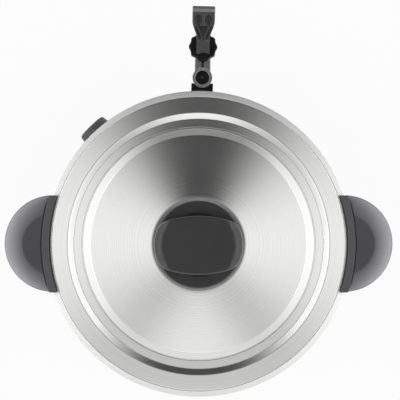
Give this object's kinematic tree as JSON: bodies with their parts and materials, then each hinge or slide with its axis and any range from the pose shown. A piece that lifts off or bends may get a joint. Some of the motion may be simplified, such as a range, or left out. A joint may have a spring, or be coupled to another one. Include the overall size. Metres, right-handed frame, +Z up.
{
  "type": "hot beverage boiler",
  "caption": "Round double-walled steel drink boiler on a plastic base, with a lift-off lid, side grips, a lever tap with a level tube, and a thermostat knob.",
  "frame": {"origin": "on the pot's axis, at the surface the foot ring stands on", "axes": "+Z up, -Y towards the tap, +X towards the handle on the right of someone who faces the tap"},
  "size_m": [0.3476, 0.3695, 0.368],
  "materials": {
    "pot_steel": "brushed",
    "lid_steel": "spun, circular brushing",
    "base_plastic": "fine moulded grain",
    "plate_metal": "powder coat",
    "foot_rubber": "matt",
    "handle_plastic": "fine moulded grain",
    "lid_plastic": "fine moulded grain",
    "tap_plastic": "glossy",
    "bonnet_plastic": "satin",
    "lever_plastic": "satin",
    "knob_plastic": "satin",
    "gauge_clear": "clear",
    "silicone": "matt",
    "screw_steel": "plain",
    "stem_steel": "polished",
    "spreader_metal": "satin",
    "element_steel": "heat tinted",
    "control_plastic": "moulded",
    "shaft_metal": "turned",
    "sensor_metal": "drawn",
    "ready_lens": "clear tint",
    "heating_lens": "clear tint",
    "inlet_plastic": "moulded",
    "pin_metal": "plated"
  },
  "bodies": {
    "boiler": {"inner_pot": "pot_steel", "pot_floor": "pot_steel", "outer_shell": "pot_steel", "base_housing": "base_plastic", "base_plate": "plate_metal", "foot_ring": "foot_rubber", "right_handle_bracket": "handle_plastic", "left_handle_bracket": "handle_plastic", "right_handle_grip": "handle_plastic", "left_handle_grip": "handle_plastic", "tap_body": "tap_plastic", "tap_nut": "tap_plastic", "gauge_bracket": "tap_plastic", "tap_bonnet": "bonnet_plastic", "gauge_plug": "bonnet_plastic", "gauge_tube": "gauge_clear", "tap_seals": "silicone", "gauge_seal": "silicone", "base_screws": "screw_steel", "thermostat_screws": "screw_steel", "inlet_screws": "screw_steel", "handle_screws": "screw_steel", "bracket_screws": "screw_steel", "tie_stud": "screw_steel", "tie_nut": "screw_steel", "tap_spring": "stem_steel", "heat_spreader": "spreader_metal", "heating_element": "element_steel", "thermostat_body": "control_plastic", "thermal_cutout": "control_plastic", "thermostat_sensor": "sensor_metal", "ready_lamp": "ready_lens", "heating_lamp": "heating_lens", "inlet_socket": "inlet_plastic", "inlet_pins": "pin_metal"},
    "lid": {"lid_shell": "lid_steel", "lid_knob_base": "lid_plastic", "lid_handle_bar": "lid_plastic", "lid_washer": "silicone", "lid_screws": "screw_steel"},
    "stem": {"tap_stem": "stem_steel", "seat_cup": "silicone", "lever_pin": "stem_steel"},
    "lever": {"tap_lever": "lever_plastic"},
    "knob": {"thermostat_knob": "knob_plastic", "thermostat_shaft": "shaft_metal"}
  },
  "joints": [
    {"name": "lid_lift", "type": "slide", "parent": "boiler", "child": "lid", "axis": [0, 0, 1], "range_m": [0, 0.12]},
    {"name": "stem_lift", "type": "slide", "parent": "boiler", "child": "stem", "axis": [0, 0, 1], "range_m": [0, 0.003], "stiffness_N_per_m": 250, "springref_m": -0.004, "deforming": ["tap_spring"]},
    {"name": "lever_tilt", "type": "hinge", "parent": "stem", "child": "lever", "pos_m": [0, -0.1915, 0.149], "axis": [1, 0, 0], "range_deg": [0, 30]},
    {"name": "thermostat_turn", "type": "hinge", "parent": "boiler", "child": "knob", "pos_m": [0.10242, -0.10065, 0.04], "axis": [0.7133, -0.7009, 0], "range_deg": [-270, 0]}
  ],
  "couplings": [
    {"joint": "lever_tilt", "follows": "stem_lift", "rad_per_m": 174.53}
  ]
}
